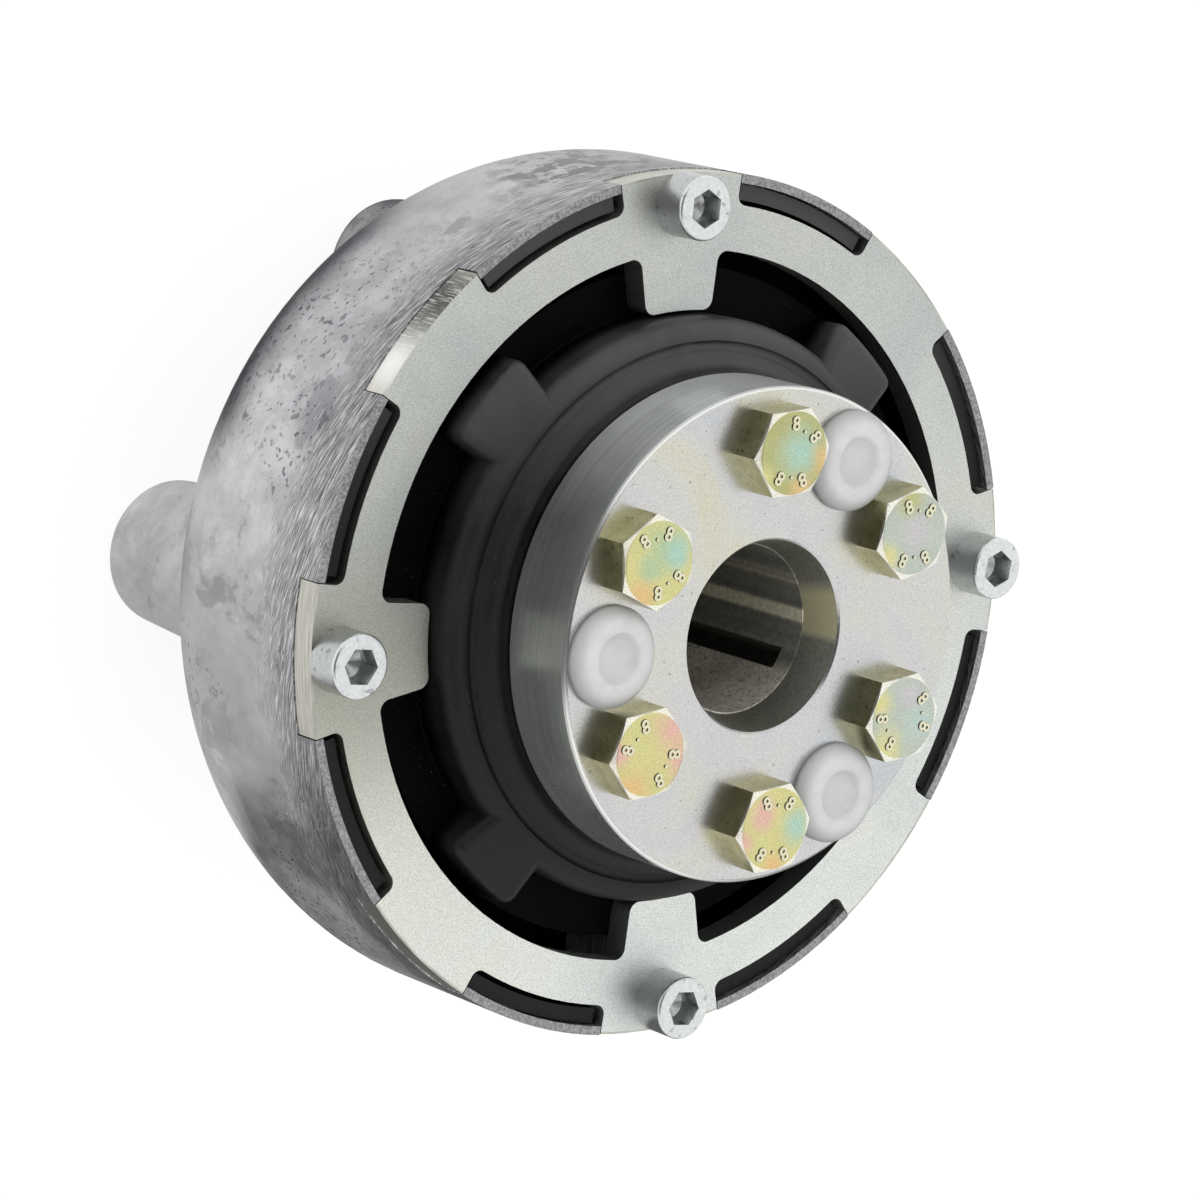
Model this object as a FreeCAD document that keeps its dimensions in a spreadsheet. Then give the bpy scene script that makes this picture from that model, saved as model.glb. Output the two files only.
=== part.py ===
"""Flexible shaft coupling: cast housing, rubber element and split-sleeve clamp hub.

Millimetres. +Z runs along the shaft, from the gearbox side to the clamp flange. The origin is
the centre of the plane that the four rear bosses stand on. The four tooth positions lie on the
X and Y axes, and the four rubber lobes lie between them, at 45 degrees.
"""
import FreeCAD, Part
import os
import re
import Sketcher

SIZES = (
    # housing
    ("boss_height", 32, "gearbox face to the back of the housing"),
    ("boss_circle_radius", 56.5, "centre of each rear boss from the shaft axis"),
    ("boss_end_radius", 15.4, "rear boss at its standing face, before the edge is rounded"),
    ("boss_taper", 4, "draft of the rear boss, degrees"),
    ("boss_edge_round", 4, "rounding of the rear boss's edge"),
    ("boss_root_round", 3, "fillet between a rear boss and the shoulder"),
    ("boss_thread_diameter", 10, "gearbox bolt thread"),
    ("boss_thread_depth", 25, "depth of the gearbox bolt thread"),
    ("housing_radius", 90.5, "outside of the housing"),
    ("housing_length", 71, "back of the housing to its rim"),
    ("shoulder_radius", 36, "rounding between the housing's side and its back"),
    ("housing_wall", 4, "side wall behind the plate"),
    ("housing_floor", 5, "back wall"),
    ("lip_thickness", 1.9, "thin rim between the plate's tabs"),
    ("tooth_count", 4, "teeth inside the housing"),
    ("tooth_angle", 14, "width of a tooth, degrees"),
    ("tooth_setback", 0.5, "tooth tip behind the tip of the inner tab over it"),
    # retaining ring
    ("plate_thickness", 6, "retaining ring"),
    ("plate_inset", 0.2, "tab edges inside the housing's outside"),
    ("tab_count", 8, "tabs that rest in the rim"),
    ("tab_angle", 20, "width of a rim tab, degrees"),
    ("tab_play", 0.25, "gap each side of a rim tab"),
    ("slot_depth", 6.4, "bottom of a slot between two rim tabs, from the housing's outside"),
    ("slot_round", 2.2, "rounding of the slots' corners"),
    ("band_width", 9.6, "retaining ring between a slot and its round opening"),
    ("window_round", 2.4, "rounding at the root and the tip of an inner tab"),
    ("inner_tab_angle", 15.6, "width of an inner tab, degrees"),
    ("inner_tab_clearance", 0.9, "gap between an inner tab's tip and the raised ring of rubber"),
    # ring screws
    ("screw_inset", 6.5, "ring screws from the housing's outside"),
    ("screw_diameter", 8, "ring screw shank"),
    ("screw_length", 25, "ring screw under its head"),
    ("screw_head_diameter", 13.3, "ring screw head"),
    ("screw_head_height", 8, "ring screw head"),
    ("screw_head_round", 0.8, "rounding of the ring screw's head"),
    ("socket_flats", 7, "hexagon socket across its flats"),
    ("socket_depth", 4.5, "hexagon socket"),
    ("socket_drill_diameter", 6.2, "drilled cone at the bottom of the socket"),
    ("screw_hole_play", 0.5, "gap round a ring screw in the plate"),
    ("thread_play", 0.1, "gap round a screw in its threaded hole"),
    # rubber element
    ("rubber_play", 0.3, "gap between the rubber and the housing"),
    ("plate_play", 0.2, "gap between the rubber and the retaining ring"),
    ("bond_gap", 0.1, "bond line between the rubber and the inner hub"),
    ("ridge_width", 11.8, "hub to the outside of the raised ring of rubber"),
    ("ridge_rise", 2.2, "top of the raised ring's upright side, above the rim"),
    ("ridge_round", 4.2, "rounding of the raised ring"),
    ("crest_rise", 5.9, "crest of the raised ring above the rim"),
    ("groove_inset", 5.6, "middle of the groove from the outside of the raised ring"),
    ("groove_width", 2.2, "groove inside the raised ring"),
    ("collar_thickness", 1.8, "collar round the hub"),
    ("collar_foot_round", 4, "hollow at the foot of the collar"),
    ("ridge_foot_round", 0.6, "hollow where the raised ring meets the floor"),
    ("lobe_angle", 17.4, "width of a lobe, degrees"),
    ("lobe_reach", 0.707, "share of the window that a lobe crosses, outwards from the raised ring"),
    ("lobe_rise", 3, "outer end of a lobe above the rim"),
    ("lobe_round", 2.5, "rounding of a lobe's edges"),
    ("front_gap_depth", 14, "open gap in the rubber's front, round the outer ends of the lobes"),
    ("skirt_thickness", 6, "rubber outside the front gap, which carries the lugs"),
    ("lug_thickness", 2.2, "rubber lug inside a rim lip"),
    ("lug_drop", 1.5, "top of a lug below the rim"),
    # inner hub
    ("hub_radius", 49.4, "hub inside the rubber collar"),
    ("hub_rear_gap", 7.2, "gap between the hub and the housing's back wall"),
    ("arm_angle", 12, "width of a hub arm, degrees"),
    ("arm_cover", 3.4, "rubber over the tip of a hub arm"),
    ("arm_drop", 1, "front of a hub arm below the rim"),
    ("arm_length", 48, "hub arm along the shaft"),
    ("rear_bore_play", 1.5, "hub's rear bore round the shaft"),
    # clamp flange
    ("flange_radius", 51, "clamp flange"),
    ("flange_thickness", 18, "clamp flange"),
    ("flange_standoff", 12, "rear face of the clamp flange above the rim"),
    ("flange_chamfer", 0.8, "edge of the clamp flange"),
    ("clamp_gap", 0.8, "gap left between the clamp flange and the hub"),
    ("mouth_diameter", 39.6, "tapered bore of the clamp flange at its front face"),
    ("mouth_play", 0.2, "gap round the shaft at the narrow end of the flange's bore"),
    # split sleeve
    ("shaft_diameter", 35, "shaft that the sleeve clamps"),
    ("sleeve_length", 62, "split sleeve"),
    ("sleeve_setback", 8.7, "front of the sleeve behind the flange's front face"),
    ("sleeve_nose_radius", 24.5, "small end of the sleeve's front cone"),
    ("sleeve_waist_radius", 27.5, "largest radius of the sleeve, between its two cones"),
    ("sleeve_tail_radius", 22, "small end of the sleeve's long cone"),
    ("sleeve_end_gap", 1, "gap behind the sleeve in the hub"),
    ("cone_play", 0.1, "gap round the sleeve's cones"),
    ("slit_width", 4.7, "slit along the sleeve"),
    ("slit_setback", 4.5, "closed end of the slit behind the sleeve's front"),
    # clamp bolts
    ("bolt_count", 6, "clamp bolts"),
    ("bolt_circle_radius", 38.6, "clamp bolts from the shaft axis"),
    ("drilling_turn", -1.4, "first clamp bolt from the +Y axis, anticlockwise, degrees"),
    ("bolt_diameter", 10, "clamp bolt shank"),
    ("bolt_length", 40, "clamp bolt under its head"),
    ("bolt_head_flats", 17, "clamp bolt head across its flats"),
    ("bolt_head_height", 6.4, "clamp bolt head"),
    ("bolt_face_diameter", 16.3, "flat face of a bolt head inside its chamfer"),
    ("bolt_chamfer_slope", 25, "slope of the chamfer on a bolt head, degrees"),
    ("tip_chamfer", 1, "chamfer at the tip of a bolt or screw"),
    ("bolt_hole_play", 0.5, "gap round a clamp bolt in the flange"),
    ("bolt_hole_spare", 4, "depth of a threaded hole beyond its screw"),
    # thread caps
    ("cap_count", 3, "caps over the jacking threads"),
    ("cap_circle_radius", 40, "caps from the shaft axis"),
    ("cap_radius", 10.4, "thread cap"),
    ("cap_edge", 1.2, "thread cap at its rim"),
    ("cap_height", 3.6, "thread cap at its shoulder"),
    ("cap_shoulder_radius", 7, "outside of the cap's flat top"),
    ("cap_dish", 0.9, "depth of the dish in the cap's top"),
    ("cap_dish_radius", 5.4, "dish in the cap's top"),
    ("cap_stem_length", 8, "plug of the cap in its thread"),
    ("cap_stem_play", 0.15, "gap round the cap's plug"),
    ("jack_diameter", 12, "jacking thread in the clamp flange"),
)
NAMES = {alias for alias, value, meaning in SIZES}

# Heights that several pieces share, as formulas of the sizes
RIM = "(boss_height + housing_length)"
LEDGE = "(boss_height + housing_length - plate_thickness)"
FLOOR = "(boss_height + housing_floor)"
FLANGE_BACK = "(boss_height + housing_length + flange_standoff)"
FLANGE_FRONT = "(boss_height + housing_length + flange_standoff + flange_thickness)"
HUB_FRONT = "(boss_height + housing_length + flange_standoff - clamp_gap)"
SLEEVE_FRONT = "(boss_height + housing_length + flange_standoff + flange_thickness - sleeve_setback)"
WAIST = "(boss_height + housing_length + flange_standoff - clamp_gap / 2)"
RUBBER_FRONT = "(boss_height + housing_length - plate_thickness - plate_play)"

# Radii that several pieces share
CAVITY_RADIUS = "(housing_radius - housing_wall)"
CAVITY_CORNER = "(shoulder_radius - housing_wall)"
SHAFT_RADIUS = "(shaft_diameter / 2)"
SLOT_RADIUS = "(housing_radius - slot_depth)"
WINDOW_RADIUS = "(housing_radius - slot_depth - band_width)"
SCREW_CIRCLE = "(housing_radius - screw_inset)"
RIDGE_RADIUS = "(hub_radius + ridge_width)"
GROOVE_RADIUS = "(hub_radius + ridge_width - groove_inset)"
TAB_TIP = "(hub_radius + ridge_width + inner_tab_clearance)"
TOOTH_TIP = "(hub_radius + ridge_width + inner_tab_clearance + tooth_setback)"
LOBE_RADIUS = f"({RIDGE_RADIUS} + lobe_reach * ({WINDOW_RADIUS} - {RIDGE_RADIUS}))"
ARM_TIP = f"({LOBE_RADIUS} - arm_cover)"

# Turn of each hexagon on its own axis, as the screws happened to stop, in degrees
BOLT_TURNS = (2, 15, 5, 3, 5, 31)
SOCKET_TURNS = (24, 19, 51, 52)
# Middle of the sleeve's slit, in degrees from +X
SLIT_DIRECTION = -31

doc = FreeCAD.newDocument("shaft_coupling")
sheet = doc.addObject("Spreadsheet::Sheet", "Sizes")
for row, (alias, number, meaning) in enumerate(SIZES, start=1):
    sheet.set(f"A{row}", meaning)
    sheet.set(f"B{row}", str(number))
    sheet.setAlias(f"B{row}", alias)
doc.recompute()


def bound(formula):
    """The formula as an expression on the sheet's cells."""
    return re.sub(r"[a-z]\w+", lambda word: "Sizes." + word[0] if word[0] in NAMES else word[0], formula)


def value(formula):
    """The number that a formula gives now."""
    return float(sheet.evalExpression(bound(formula)))


def around(radius, angle):
    """Formulas of a point's x and y, from its distance and direction off the shaft axis."""
    return f"{radius} * cos({angle})", f"{radius} * sin({angle})"


def origin_item(body, role):
    return next(item for item in body.Origin.OriginFeatures if item.Role == role)


def new_body(name):
    body = doc.addObject("PartDesign::Body", name)
    body.Label = name
    return body


def new_sketch(body, name, plane, lift="0", turn=0):
    """A sketch on an origin plane, lifted off it or turned about the shaft axis."""
    sketch = body.newObject("Sketcher::SketchObject", name)
    sketch.AttachmentSupport = [(origin_item(body, plane), "")]
    sketch.MapMode = "FlatFace"
    axis = FreeCAD.Vector(0, 1, 0) if plane == "XZ_Plane" else FreeCAD.Vector(0, 0, 1)
    sketch.AttachmentOffset = FreeCAD.Placement(FreeCAD.Vector(), FreeCAD.Rotation(axis, turn))
    if lift != "0":
        sketch.setExpression("AttachmentOffset.Base.z", bound(lift))
    return sketch


def tie(sketch, geometry, end, across, up):
    """Tie one point of a sketch to two formulas, measured from the sketch's origin."""
    for kind, axis, formula in (("DistanceX", -2, across), ("DistanceY", -1, up)):
        if formula == "0":
            sketch.addConstraint(Sketcher.Constraint("PointOnObject", geometry, end, axis))
        else:
            distance = Sketcher.Constraint(kind, -1, 1, geometry, end, value(formula))
            index = sketch.addConstraint(distance)
            sketch.setExpression(f"Constraints[{index}]", bound(formula))


def arc_between(start, end, radius, way):
    """The shorter arc from start to end, and which of its two ends each of them is."""
    if way < 0:
        start, end = end, start
    middle = (start + end) / 2
    half = (end - start) / 2
    rise = max(radius ** 2 - half.Length ** 2, 0) ** 0.5
    centre = middle + FreeCAD.Vector(-half.y, half.x, 0).normalize() * rise
    circle = Part.Circle(centre, FreeCAD.Vector(0, 0, 1), radius)
    return Part.ArcOfCircle(circle, circle.parameter(start), circle.parameter(end))


def draw_loop(sketch, corners):
    """Draw a closed loop. A corner is (across, up) for a line to the next corner, or
    (across, up, radius, way) for an arc to it, with way 1 anticlockwise and -1 clockwise."""
    places = [FreeCAD.Vector(value(corner[0]), value(corner[1]), 0) for corner in corners]
    ends = []
    for index, corner in enumerate(corners):
        start, end = places[index], places[(index + 1) % len(places)]
        if len(corner) == 2:
            ends.append((sketch.addGeometry(Part.LineSegment(start, end)), 1, 2))
        else:
            way = corner[3]
            arc = sketch.addGeometry(arc_between(start, end, value(corner[2]), way))
            ends.append((arc, 1, 2) if way > 0 else (arc, 2, 1))
    for index, (geometry, first, last) in enumerate(ends):
        following = ends[(index + 1) % len(ends)]
        sketch.addConstraint(Sketcher.Constraint("Coincident", geometry, last, following[0], following[1]))
        tie(sketch, geometry, first, corners[index][0], corners[index][1])
        if len(corners[index]) > 2:
            radius = Sketcher.Constraint("Radius", geometry, value(corners[index][2]))
            number = sketch.addConstraint(radius)
            sketch.setExpression(f"Constraints[{number}]", bound(corners[index][2]))


def draw_circle(sketch, across, up, radius):
    centre = FreeCAD.Vector(value(across), value(up), 0)
    circle = sketch.addGeometry(Part.Circle(centre, FreeCAD.Vector(0, 0, 1), value(radius)))
    tie(sketch, circle, 3, across, up)
    index = sketch.addConstraint(Sketcher.Constraint("Radius", circle, value(radius)))
    sketch.setExpression(f"Constraints[{index}]", bound(radius))


def turned(body, name, corners, cut=False, sweep=None, turn=0):
    """Turn a loop about the shaft axis, all the way round or over a sweep about its own middle."""
    sketch = new_sketch(body, name + "_outline", "XZ_Plane", turn=turn)
    draw_loop(sketch, corners)
    feature = body.newObject("PartDesign::Groove" if cut else "PartDesign::Revolution", name)
    feature.Profile = sketch
    feature.ReferenceAxis = (sketch, ["V_Axis"])
    if sweep:
        feature.Midplane = True
        feature.setExpression("Angle", bound(sweep))
    doc.recompute()
    return feature


def raised(body, name, sketch, length, cut=False, backwards=False, draft=None):
    """Pad or pocket a sketch."""
    feature = body.newObject("PartDesign::Pocket" if cut else "PartDesign::Pad", name)
    feature.Profile = sketch
    feature.Reversed = backwards
    feature.setExpression("Length", bound(length))
    if draft:
        feature.setExpression("TaperAngle", bound(draft))
    doc.recompute()
    return feature


def repeated(body, name, features, count, whole=False):
    """Repeat features, or the whole shape so far, round the shaft axis."""
    pattern = body.newObject("PartDesign::PolarPattern", name)
    if whole:
        pattern.TransformMode = "Whole shape"
    else:
        pattern.Originals = features
    pattern.Axis = (origin_item(body, "Z_Axis"), [""])
    pattern.Angle = 360
    pattern.setExpression("Occurrences", bound(count))
    body.Tip = pattern
    doc.recompute()
    return pattern


def edges_of(feature, wanted):
    """Names of the feature's edges that the test picks by their middle point and direction."""
    names = []
    for number, edge in enumerate(feature.Shape.Edges, start=1):
        middle = edge.valueAt((edge.FirstParameter + edge.LastParameter) / 2)
        along = edge.tangentAt((edge.FirstParameter + edge.LastParameter) / 2)
        if wanted(middle, along, edge):
            names.append(f"Edge{number}")
    return names


def rounded(body, name, base, radius, wanted):
    """Fillet the edges of the base feature that the test picks."""
    fillet = body.newObject("PartDesign::Fillet", name)
    fillet.Base = (base, edges_of(base, wanted))
    fillet.setExpression("Radius", bound(radius))
    body.Tip = fillet
    doc.recompute()
    return fillet


def off_axis(point):
    return (point.x ** 2 + point.y ** 2) ** 0.5


def upright_near(radius):
    """Edges that run along the shaft at about this distance from it."""
    return lambda middle, along, edge: abs(along.z) > 0.99 and abs(off_axis(middle) - value(radius)) < 0.05


def on_boss_root(middle, along, edge):
    """Edges where a rear boss meets the back of the housing."""
    boss = value("boss_circle_radius")
    from_boss = min(((middle.x - across) ** 2 + (middle.y - up) ** 2) ** 0.5
                    for across, up in ((boss, 0), (0, boss), (-boss, 0), (0, -boss)))
    upright = abs(from_boss - value("boss_end_radius")) < 0.5 * value("boss_end_radius")
    return upright and middle.z > value("boss_height") - 0.1


def threaded_hole(body, name, across, up, lift, diameter, depth, upwards, count):
    """A threaded hole drawn at its thread's size, with a drill's cone at its end, repeated."""
    sketch = new_sketch(body, name + "_circle", "XY_Plane", lift)
    draw_circle(sketch, across, up, f"({diameter}) / 2")
    hole = raised(body, name, sketch, depth, cut=True, backwards=upwards)
    return repeated(body, name + "s", [hole], count)


def make_housing():
    """Cast bowl with four rear bosses, four inner teeth and a rim notched for the ring's tabs."""
    body = new_body("housing")
    back = "boss_height"
    root = "housing_wall / 2"
    turned(body, "bowl", [
        ("0", back),
        ("housing_radius - shoulder_radius", back, "shoulder_radius", 1),
        ("housing_radius", "boss_height + shoulder_radius"),
        ("housing_radius", RIM),
        ("0", RIM),
    ])
    circle = new_sketch(body, "boss_circle", "XY_Plane")
    draw_circle(circle, "boss_circle_radius", "0", "boss_end_radius")
    boss = raised(body, "boss", circle, "boss_height + shoulder_radius / 2", draft="boss_taper")
    bosses = repeated(body, "bosses", [boss], "tooth_count")
    soft = rounded(body, "boss_edges", bosses, "boss_edge_round",
                   lambda middle, along, edge: abs(middle.z) < 0.01)
    rounded(body, "boss_roots", soft, "boss_root_round", on_boss_root)
    turned(body, "cavity", [
        ("0", FLOOR),
        (f"{CAVITY_RADIUS} - {CAVITY_CORNER}", FLOOR, CAVITY_CORNER, 1),
        (CAVITY_RADIUS, f"{FLOOR} + {CAVITY_CORNER}"),
        (CAVITY_RADIUS, LEDGE),
        ("housing_radius - lip_thickness", LEDGE),
        ("housing_radius - lip_thickness", f"{RIM} + 1"),
        ("0", f"{RIM} + 1"),
    ], cut=True)
    drop = f"sqrt(({CAVITY_CORNER} + {root})^2 - ({TOOTH_TIP} - {CAVITY_RADIUS} + {CAVITY_CORNER})^2)"
    tooth = turned(body, "tooth", [
        (TOOTH_TIP, f"{FLOOR} + {CAVITY_CORNER} - {drop}", f"{CAVITY_CORNER} + {root}", 1),
        (f"{CAVITY_RADIUS} + {root}", f"{FLOOR} + {CAVITY_CORNER}"),
        (f"{CAVITY_RADIUS} + {root}", LEDGE),
        (TOOTH_TIP, LEDGE),
    ], sweep="tooth_angle")
    repeated(body, "teeth", [tooth], "tooth_count")
    notch = turned(body, "notch", [
        (CAVITY_RADIUS, LEDGE),
        ("housing_radius + 1", LEDGE),
        ("housing_radius + 1", f"{RIM} + 1"),
        (CAVITY_RADIUS, f"{RIM} + 1"),
    ], cut=True, sweep="tab_angle + 2 * tab_play / housing_radius * 180 / pi")
    repeated(body, "notches", [notch], "tab_count")
    threaded_hole(body, "screw_hole", SCREW_CIRCLE, "0", LEDGE,
                  "screw_diameter + 2 * thread_play",
                  "screw_length - plate_thickness + bolt_hole_spare", False, "tooth_count")
    threaded_hole(body, "boss_hole", "boss_circle_radius", "0", "0",
                  "boss_thread_diameter", "boss_thread_depth", True, "tooth_count")
    return body


def make_retaining_ring():
    """Flat castellated ring: eight tabs in the rim, four long tabs over the housing's teeth."""
    body = new_body("retaining_ring")
    turned(body, "plate", [
        (WINDOW_RADIUS, LEDGE),
        ("housing_radius - plate_inset", LEDGE),
        ("housing_radius - plate_inset", RIM),
        (WINDOW_RADIUS, RIM),
    ])
    slot = turned(body, "slot", [
        (SLOT_RADIUS, f"{LEDGE} - 1"),
        ("housing_radius + 1", f"{LEDGE} - 1"),
        ("housing_radius + 1", f"{RIM} + 1"),
        (SLOT_RADIUS, f"{RIM} + 1"),
    ], cut=True, sweep="360 / tab_count - tab_angle", turn=180 / value("tab_count"))
    repeated(body, "slots", [slot], "tab_count")
    tab = turned(body, "inner_tab", [
        (TAB_TIP, LEDGE),
        (f"{WINDOW_RADIUS} + 1", LEDGE),
        (f"{WINDOW_RADIUS} + 1", RIM),
        (TAB_TIP, RIM),
    ], sweep="inner_tab_angle")
    tabs = repeated(body, "inner_tabs", [tab], "tooth_count")
    slots = rounded(body, "slot_corners", tabs, "slot_round", upright_near(SLOT_RADIUS))
    window_round = f"min(window_round; ({WINDOW_RADIUS} - {TAB_TIP}) * 0.45)"
    tips = rounded(body, "tab_tips", slots, window_round, upright_near(TAB_TIP))
    rounded(body, "tab_roots", tips, window_round, upright_near(WINDOW_RADIUS))
    circle = new_sketch(body, "screw_circle", "XY_Plane", f"{RIM} + 1")
    draw_circle(circle, SCREW_CIRCLE, "0", "screw_diameter / 2 + screw_hole_play")
    hole = raised(body, "screw_hole", circle, "plate_thickness + 2", cut=True)
    repeated(body, "screw_holes", [hole], "tooth_count")
    return body


def make_rubber_element():
    """Moulded rubber between the hub's arms and the housing's teeth, with four raised lobes."""
    body = new_body("rubber_element")
    body.AllowCompound = True
    outer = f"{CAVITY_RADIUS} - rubber_play"
    corner = f"{CAVITY_CORNER} - rubber_play"
    collar = "hub_radius + collar_thickness"
    groove_edge = f"{GROOVE_RADIUS} + groove_width / 2"
    lobe = turned(body, "lobe", [
        (groove_edge, f"{RUBBER_FRONT} - 1"),
        (LOBE_RADIUS, f"{RUBBER_FRONT} - 1"),
        (LOBE_RADIUS, f"{RIM} + lobe_rise"),
        (groove_edge, f"{RIM} + crest_rise"),
    ], sweep="lobe_angle", turn=180 / value("tooth_count"))
    soft = rounded(body, "lobe_edges", lobe, f"min(lobe_round; ({LOBE_RADIUS} - {RIDGE_RADIUS}) * 0.45)",
                   lambda middle, along, edge: middle.z > value(RUBBER_FRONT) and
                   off_axis(middle) > value(groove_edge) + 1)
    lobes = repeated(body, "lobes", [soft], "tooth_count", whole=True)
    turned(body, "ring", [
        ("0", f"{FLOOR} + rubber_play"),
        (f"{outer} - ({corner})", f"{FLOOR} + rubber_play", corner, 1),
        (outer, f"{FLOOR} + {CAVITY_CORNER}"),
        (outer, RUBBER_FRONT),
        (f"{RIDGE_RADIUS} + ridge_foot_round", RUBBER_FRONT, "ridge_foot_round", -1),
        (RIDGE_RADIUS, f"{RUBBER_FRONT} + ridge_foot_round"),
        (RIDGE_RADIUS, f"{RIM} + ridge_rise", "ridge_round", 1),
        (groove_edge, f"{RIM} + crest_rise", "groove_width * 0.6", -1),
        (f"{GROOVE_RADIUS} - groove_width / 2", f"{RIM} + crest_rise", "collar_foot_round", -1),
        (collar, f"{RIM} + crest_rise + collar_foot_round * 0.8"),
        (collar, HUB_FRONT),
        ("0", HUB_FRONT),
    ])
    turned(body, "hub_bore", [
        ("0", f"{FLOOR} - 1"),
        ("hub_radius + bond_gap", f"{FLOOR} - 1"),
        ("hub_radius + bond_gap", f"{HUB_FRONT} + 1"),
        ("0", f"{HUB_FRONT} + 1"),
    ], cut=True)
    lug = turned(body, "lug", [
        (f"{outer} - lug_thickness / 2", f"{LEDGE} - 1"),
        (outer, f"{LEDGE} - 1"),
        (outer, f"{LEDGE} + rubber_play"),
        ("housing_radius - lip_thickness - rubber_play", f"{LEDGE} + rubber_play"),
        ("housing_radius - lip_thickness - rubber_play", f"{RIM} - lug_drop"),
        (f"{outer} - lug_thickness / 2", f"{RIM} - lug_drop"),
    ], sweep="360 / tab_count - tab_angle - 2", turn=180 / value("tab_count"))
    repeated(body, "lugs", [lug], "tab_count")
    turned(body, "front_gap", [
        (LOBE_RADIUS, f"{RUBBER_FRONT} - front_gap_depth"),
        (f"{outer} - skirt_thickness", f"{RUBBER_FRONT} - front_gap_depth"),
        (f"{outer} - skirt_thickness", f"{RIM} + lobe_rise"),
        (LOBE_RADIUS, f"{RIM} + lobe_rise"),
    ], cut=True)
    slot = turned(body, "tooth_slot", [
        (f"{TOOTH_TIP} - rubber_play", f"{FLOOR} - 1"),
        (f"{outer} + 1", f"{FLOOR} - 1"),
        (f"{outer} + 1", f"{LEDGE} + 1"),
        (f"{TOOTH_TIP} - rubber_play", f"{LEDGE} + 1"),
    ], cut=True, sweep=f"tooth_angle + 2 * rubber_play / {TOOTH_TIP} * 180 / pi")
    repeated(body, "tooth_slots", [slot], "tooth_count")
    arm = turned(body, "arm_pocket", [
        ("hub_radius - 1", f"{RIM} - arm_drop - arm_length - bond_gap"),
        (f"{ARM_TIP} + bond_gap", f"{RIM} - arm_drop - arm_length - bond_gap"),
        (f"{ARM_TIP} + bond_gap", f"{RIM} - arm_drop + bond_gap"),
        ("hub_radius - 1", f"{RIM} - arm_drop + bond_gap"),
    ], cut=True, sweep="arm_angle + 2 * bond_gap / hub_radius * 180 / pi",
        turn=180 / value("tooth_count"))
    repeated(body, "arm_pockets", [arm], "tooth_count")
    return body


def make_inner_hub():
    """Steel hub with four arms in the rubber and a long cone for the split sleeve."""
    body = new_body("inner_hub")
    tail = f"({SLEEVE_FRONT} - sleeve_length)"
    turned(body, "barrel", [
        (f"{SHAFT_RADIUS} + rear_bore_play", f"{FLOOR} + hub_rear_gap"),
        ("hub_radius", f"{FLOOR} + hub_rear_gap"),
        ("hub_radius", HUB_FRONT),
        ("sleeve_waist_radius + cone_play", HUB_FRONT),
        ("sleeve_tail_radius + cone_play", f"{tail} - sleeve_end_gap"),
        (f"{SHAFT_RADIUS} + rear_bore_play", f"{tail} - sleeve_end_gap"),
    ])
    arm = turned(body, "arm", [
        ("hub_radius - 1", f"{RIM} - arm_drop - arm_length"),
        (ARM_TIP, f"{RIM} - arm_drop - arm_length"),
        (ARM_TIP, f"{RIM} - arm_drop"),
        ("hub_radius - 1", f"{RIM} - arm_drop"),
    ], sweep="arm_angle", turn=180 / value("tooth_count"))
    repeated(body, "arms", [arm], "tooth_count")
    threaded_hole(body, "bolt_hole", *around("bolt_circle_radius", "90 + drilling_turn"), HUB_FRONT,
                  "bolt_diameter + 2 * thread_play",
                  "bolt_length - flange_thickness - clamp_gap + bolt_hole_spare", False, "bolt_count")
    return body


def make_split_sleeve():
    """Double-cone sleeve with one slit, which the clamp flange squeezes on the shaft."""
    body = new_body("split_sleeve")
    tail = f"({SLEEVE_FRONT} - sleeve_length)"
    turned(body, "double_cone", [
        (SHAFT_RADIUS, tail),
        ("sleeve_tail_radius", tail),
        ("sleeve_waist_radius", WAIST),
        ("sleeve_nose_radius", SLEEVE_FRONT),
        (SHAFT_RADIUS, SLEEVE_FRONT),
    ])
    sketch = new_sketch(body, "slit_outline", "XY_Plane", f"{tail} - 1", SLIT_DIRECTION)
    draw_loop(sketch, [
        (f"{SHAFT_RADIUS} / 2", "-slit_width / 2"),
        ("sleeve_waist_radius + 1", "-slit_width / 2"),
        ("sleeve_waist_radius + 1", "slit_width / 2"),
        (f"{SHAFT_RADIUS} / 2", "slit_width / 2"),
    ])
    raised(body, "slit", sketch, "sleeve_length - slit_setback + 1", cut=True, backwards=True)
    return body


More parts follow.
